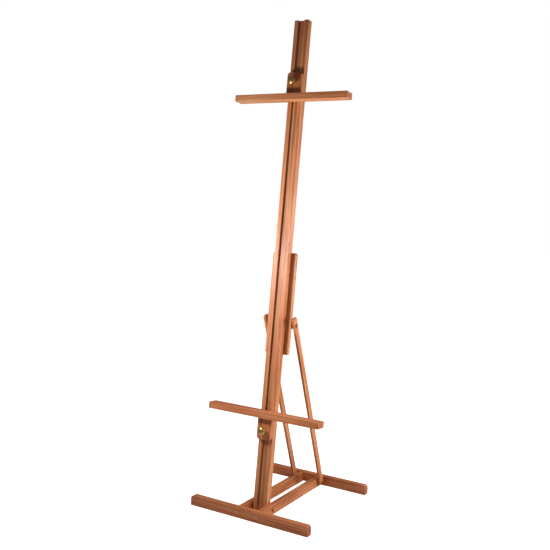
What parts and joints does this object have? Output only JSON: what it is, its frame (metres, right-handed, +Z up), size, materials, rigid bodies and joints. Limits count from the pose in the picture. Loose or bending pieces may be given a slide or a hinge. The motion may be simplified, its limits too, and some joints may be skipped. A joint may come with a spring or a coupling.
{
  "type": "h frame easel",
  "caption": "Single-mast studio easel on an H-shaped floor base, with a sliding canvas tray, a sliding top holder and a braced tilt.",
  "frame": {"origin": "on the floor under the centre of the base", "axes": "+X to the easel's right as the painter sees it, +Y to the rear, +Z up"},
  "size_m": [0.6, 0.5918, 2.1657],
  "materials": {
    "oiled_beech": "oiled, reddish brown, satin",
    "brass": "turned, polished",
    "plated_steel": "zinc plated"
  },
  "bodies": {
    "base": {"front_foot": "oiled_beech", "rear_foot": "oiled_beech", "left_rail": "oiled_beech", "right_rail": "oiled_beech", "front_foot_bolts": "plated_steel", "rear_foot_bolts": "plated_steel", "barrel_nuts": "plated_steel", "mast_pivot_bolt": "plated_steel", "mast_pivot_nut": "plated_steel", "mast_pivot_washers": "plated_steel", "strut_pivot_bolts": "plated_steel", "strut_pivot_nuts": "plated_steel", "strut_pivot_spacers": "plated_steel"},
    "mast": {"mast": "oiled_beech", "guide_board": "oiled_beech", "guide_board_screws": "plated_steel"},
    "left_strut": {"left_strut": "oiled_beech"},
    "right_strut": {"right_strut": "oiled_beech"},
    "brace": {"cross_bar": "oiled_beech", "brace_pivot_screws": "plated_steel", "brace_pivot_washers": "plated_steel", "brace_bolt": "plated_steel", "brace_washer": "brass"},
    "brace_knob": {"brace_knob": "brass"},
    "tray": {"tray_board": "oiled_beech", "tray_block": "oiled_beech", "tray_guide_strip": "oiled_beech", "tray_clamp_plate": "plated_steel", "tray_screws": "plated_steel", "tray_knob_washer": "brass"},
    "tray_knob": {"tray_knob": "brass", "tray_knob_stud": "brass"},
    "holder": {"holder_bar": "oiled_beech", "holder_block": "oiled_beech", "holder_guide_strip": "oiled_beech", "holder_clamp_plate": "plated_steel", "holder_screws": "plated_steel", "holder_knob_washer": "brass"},
    "holder_knob": {"holder_knob": "brass", "holder_knob_stud": "brass"}
  },
  "joints": [
    {"name": "mast_tilt", "type": "hinge", "parent": "base", "child": "mast", "pos_m": [0, -0.1765, 0.0225], "axis": [-1, 0, 0], "range_deg": [-5, 10]},
    {"name": "left_strut_swing", "type": "hinge", "parent": "base", "child": "left_strut", "pos_m": [-0.0735, 0.2415, 0.0225], "axis": [-1, 0, 0], "range_deg": [-5.5, 11]},
    {"name": "right_strut_swing", "type": "hinge", "parent": "base", "child": "right_strut", "pos_m": [0.0735, 0.2415, 0.0225], "axis": [-1, 0, 0], "range_deg": [-5.5, 11]},
    {"name": "brace_slide", "type": "slide", "parent": "mast", "child": "brace", "axis": [0, 0.0872, 0.9962], "range_m": [-0.04, 0.08]},
    {"name": "brace_knob_turn", "type": "hinge", "parent": "brace", "child": "brace_knob", "pos_m": [0, -0.06584, 0.82491], "axis": [0, 0.9962, -0.0872], "range_deg": [0, 360]},
    {"name": "tray_slide", "type": "slide", "parent": "mast", "child": "tray", "axis": [0, 0.0872, 0.9962], "range_m": [-0.22, 0.6]},
    {"name": "tray_knob_turn", "type": "hinge", "parent": "tray", "child": "tray_knob", "pos_m": [0, -0.18281, 0.36686], "axis": [0, -0.9962, 0.0872], "range_deg": [0, 360]},
    {"name": "holder_slide", "type": "slide", "parent": "mast", "child": "holder", "axis": [0, 0.0872, 0.9962], "range_m": [-0.7, 0.22]},
    {"name": "holder_knob_turn", "type": "hinge", "parent": "holder", "child": "holder_knob", "pos_m": [0, -0.04933, 1.89253], "axis": [0, -0.9962, 0.0872], "range_deg": [0, 360]}
  ],
  "couplings": [
    {"joint": "left_strut_swing", "follows": "mast_tilt", "ratio": 1.0704},
    {"joint": "right_strut_swing", "follows": "mast_tilt", "ratio": 1.0704},
    {"joint": "brace_slide", "follows": "mast_tilt", "m_per_rad": 0.4414}
  ]
}
